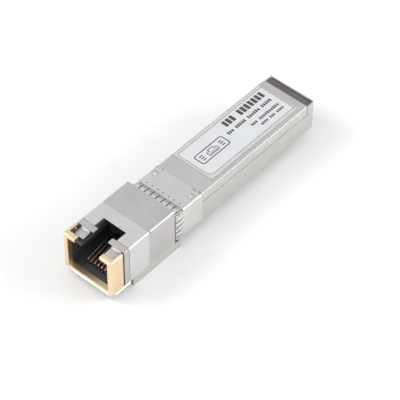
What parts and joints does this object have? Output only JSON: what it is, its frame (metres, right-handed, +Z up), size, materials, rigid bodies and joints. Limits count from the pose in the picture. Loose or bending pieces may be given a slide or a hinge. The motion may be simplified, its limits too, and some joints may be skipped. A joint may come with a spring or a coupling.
{
  "type": "transceiver module",
  "caption": "Slim pluggable metal module with a shielded cable socket at its front, a circuit-board edge plug at its tail and a wire bail that releases it.",
  "frame": {"origin": "under the middle of the module, at the level of the nose's underside", "axes": "+X across the module, +Y from the socket towards the tail, +Z up through the labelled cover"},
  "size_m": [0.0142, 0.07, 0.0133],
  "materials": {
    "cast_nickel": "nickel-plated zinc casting, satin",
    "cover_nickel": "nickel-plated stamped sheet, satin",
    "collar_nickel": "bright nickel-plated spring sheet",
    "shield_light": "light tin-plated sheet, satin",
    "shield_dark": "nickel-silver sheet, satin",
    "spring_steel": "plated spring steel, smooth",
    "gold": "gold plating, satin",
    "bail_steel": "drawn stainless wire",
    "black_plastic": "moulded, fine matte",
    "label_film": "printed polyester film, satin",
    "board_green": "solder mask, satin",
    "chip_black": "moulded epoxy",
    "ceramic_tan": "fired ceramic",
    "ferrite_grey": "pressed ferrite",
    "thermal_pink": "soft silicone pad",
    "foam_grey": "conductive foam",
    "film_amber": "amber insulating film"
  },
  "bodies": {
    "module": {"base_shell": "cast_nickel", "top_cover": "cover_nickel", "emi_collar": "collar_nickel", "label": "label_film", "shield_front": "shield_light", "shield_rear": "shield_dark", "ground_spring_left": "spring_steel", "ground_spring_right": "spring_steel", "front_bezel": "gold", "jack_housing": "black_plastic", "contact_carrier": "black_plastic", "emi_gasket": "foam_grey", "main_pcb": "board_green", "edge_contacts_top": "gold", "edge_contacts_bottom": "gold", "phy_chip": "chip_black", "thermal_pad": "thermal_pink", "magnetics_module": "chip_black", "microcontroller": "chip_black", "crystal_can": "cover_nickel", "power_converter": "chip_black", "eeprom_chip": "chip_black", "power_inductor_left": "ferrite_grey", "power_inductor_right": "ferrite_grey", "bulk_capacitor_left": "ceramic_tan", "bulk_capacitor_right": "ceramic_tan", "pcb_insulator": "film_amber", "cover_screw_front": "bail_steel", "cover_screw_rear": "bail_steel", "slider_spring": "bail_steel", "latch_plate": "cover_nickel", "plate_rivet_left": "bail_steel", "plate_rivet_right": "bail_steel", "contact_1": "gold", "contact_2": "gold", "contact_3": "gold", "contact_4": "gold", "contact_5": "gold", "contact_6": "gold", "contact_7": "gold", "contact_8": "gold"},
    "bail": {"bail": "bail_steel", "bail_crank": "bail_steel"},
    "slider": {"release_slider": "spring_steel"}
  },
  "joints": [
    {"name": "bail_hinge", "type": "hinge", "parent": "module", "child": "bail", "pos_m": [0, -0.0285, 0.0015], "axis": [1, 0, 0], "range_deg": [0, 90]},
    {"name": "slider_slide", "type": "slide", "parent": "module", "child": "slider", "axis": [0, 1, 0], "range_m": [0, 0.00113], "stiffness_N_per_m": 150, "springref_m": -0.001, "deforming": ["slider_spring"]}
  ],
  "couplings": [
    {"joint": "bail_hinge", "follows": "slider_slide", "rad_per_m": 1388.4}
  ]
}
